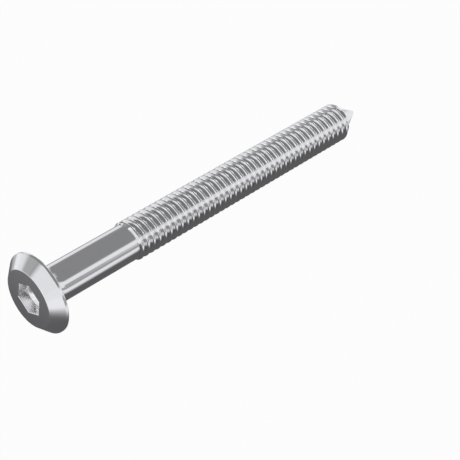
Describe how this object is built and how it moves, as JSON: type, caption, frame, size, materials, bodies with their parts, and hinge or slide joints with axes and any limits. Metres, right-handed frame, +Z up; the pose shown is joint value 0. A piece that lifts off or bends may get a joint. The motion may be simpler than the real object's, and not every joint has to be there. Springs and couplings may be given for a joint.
{
  "type": "furniture screw",
  "caption": "Furniture screw with a bevelled round head, hex socket, coned neck, plain shank, long machine thread and pilot tip.",
  "frame": {"origin": "middle of the screw's footprint, on the surface it lies on", "axes": "+X from the head towards the tip, +Z up; the screw's own axis falls by 2.9 degrees towards the tip"},
  "size_m": [0.0866, 0.0156, 0.0157],
  "materials": {
    "plated_steel": "bright zinc plating, softly polished"
  },
  "bodies": {
    "root": {"screw": "plated_steel"}
  },
  "joints": []
}
